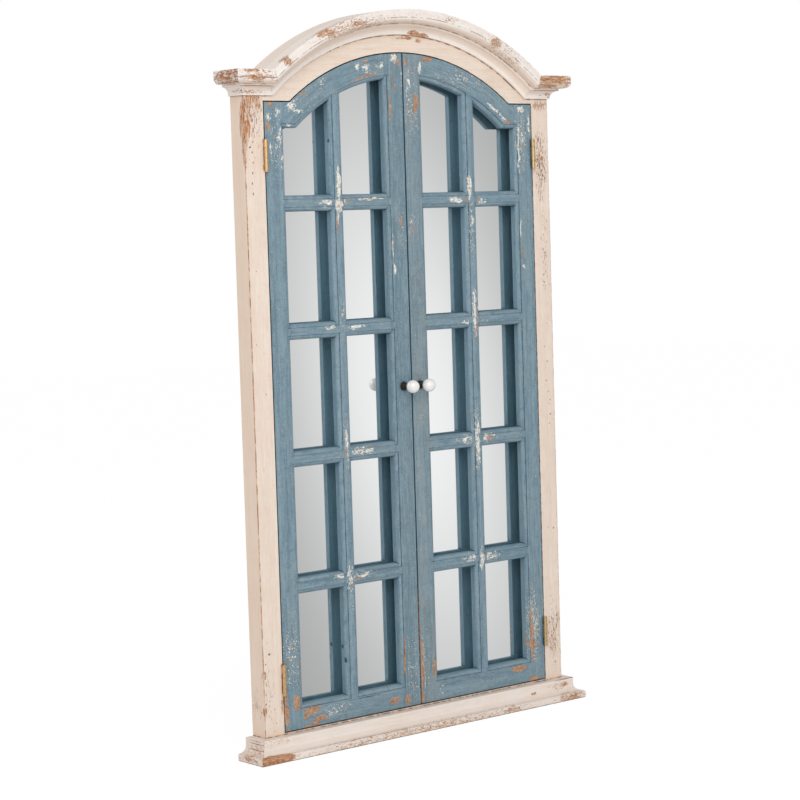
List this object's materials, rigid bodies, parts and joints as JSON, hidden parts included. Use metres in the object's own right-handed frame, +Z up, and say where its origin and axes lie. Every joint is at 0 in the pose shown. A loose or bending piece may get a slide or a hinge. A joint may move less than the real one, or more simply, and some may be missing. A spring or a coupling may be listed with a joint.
{
  "type": "shutter mirror",
  "caption": "Arched wall mirror in a moulded wooden case with a curved crown and a sill, behind two hinged window-style doors with open glazing grids and ball knobs.",
  "frame": {"origin": "middle of the bounding box at the foot of the sill", "axes": "+X to the right across the doors as seen from the front, +Y from the knobs to the wall, +Z up"},
  "size_m": [0.725, 0.07, 1.2149],
  "materials": {
    "cream_paint": "distressed cream paint over brown wood, matt",
    "blue_paint": "distressed grey-blue paint over cream paint and wood, matt",
    "mirror": "silvered plate glass",
    "backboard": "plain hardboard",
    "brass": "aged brass",
    "steel": "zinc-plated steel",
    "porcelain": "white glazed porcelain",
    "dark_metal": "blackened metal, satin"
  },
  "bodies": {
    "case": {"left_jamb": "cream_paint", "right_jamb": "cream_paint", "head_rail": "cream_paint", "bottom_rail": "cream_paint", "crown_arch": "cream_paint", "left_crown_ear": "cream_paint", "right_crown_ear": "cream_paint", "left_crown_return": "cream_paint", "right_crown_return": "cream_paint", "sill_front": "cream_paint", "left_sill_return": "cream_paint", "right_sill_return": "cream_paint", "mirror_glass": "mirror", "backboard": "backboard", "backboard_screws": "steel", "hanger_plates": "steel", "hanger_screws": "steel", "hinge_frame_leaves": "brass", "hinge_pins": "brass", "hinge_frame_screws": "brass", "catch_magnets": "steel"},
    "left_door": {"left_hinge_stile": "blue_paint", "left_meeting_stile": "blue_paint", "left_arch_rail": "blue_paint", "left_bottom_rail": "blue_paint", "left_upright_bar": "blue_paint", "left_cross_bar_1": "blue_paint", "left_cross_bar_2": "blue_paint", "left_cross_bar_3": "blue_paint", "left_cross_bar_4": "blue_paint", "left_knob": "porcelain", "left_knob_neck": "dark_metal", "left_knob_bolt": "steel", "left_hinge_leaves": "brass", "left_hinge_screws": "brass", "left_catch_strike": "steel"},
    "right_door": {"right_hinge_stile": "blue_paint", "right_meeting_stile": "blue_paint", "right_arch_rail": "blue_paint", "right_bottom_rail": "blue_paint", "right_upright_bar": "blue_paint", "right_cross_bar_1": "blue_paint", "right_cross_bar_2": "blue_paint", "right_cross_bar_3": "blue_paint", "right_cross_bar_4": "blue_paint", "right_knob": "porcelain", "right_knob_neck": "dark_metal", "right_knob_bolt": "steel", "right_hinge_leaves": "brass", "right_hinge_screws": "brass", "right_catch_strike": "steel"}
  },
  "joints": [
    {"name": "left_door_hinge", "type": "hinge", "parent": "case", "child": "left_door", "pos_m": [-0.292, -0.0036, 0], "axis": [0, 0, -1], "range_deg": [0, 145]},
    {"name": "right_door_hinge", "type": "hinge", "parent": "case", "child": "right_door", "pos_m": [0.292, -0.0036, 0], "axis": [0, 0, 1], "range_deg": [0, 145]}
  ]
}
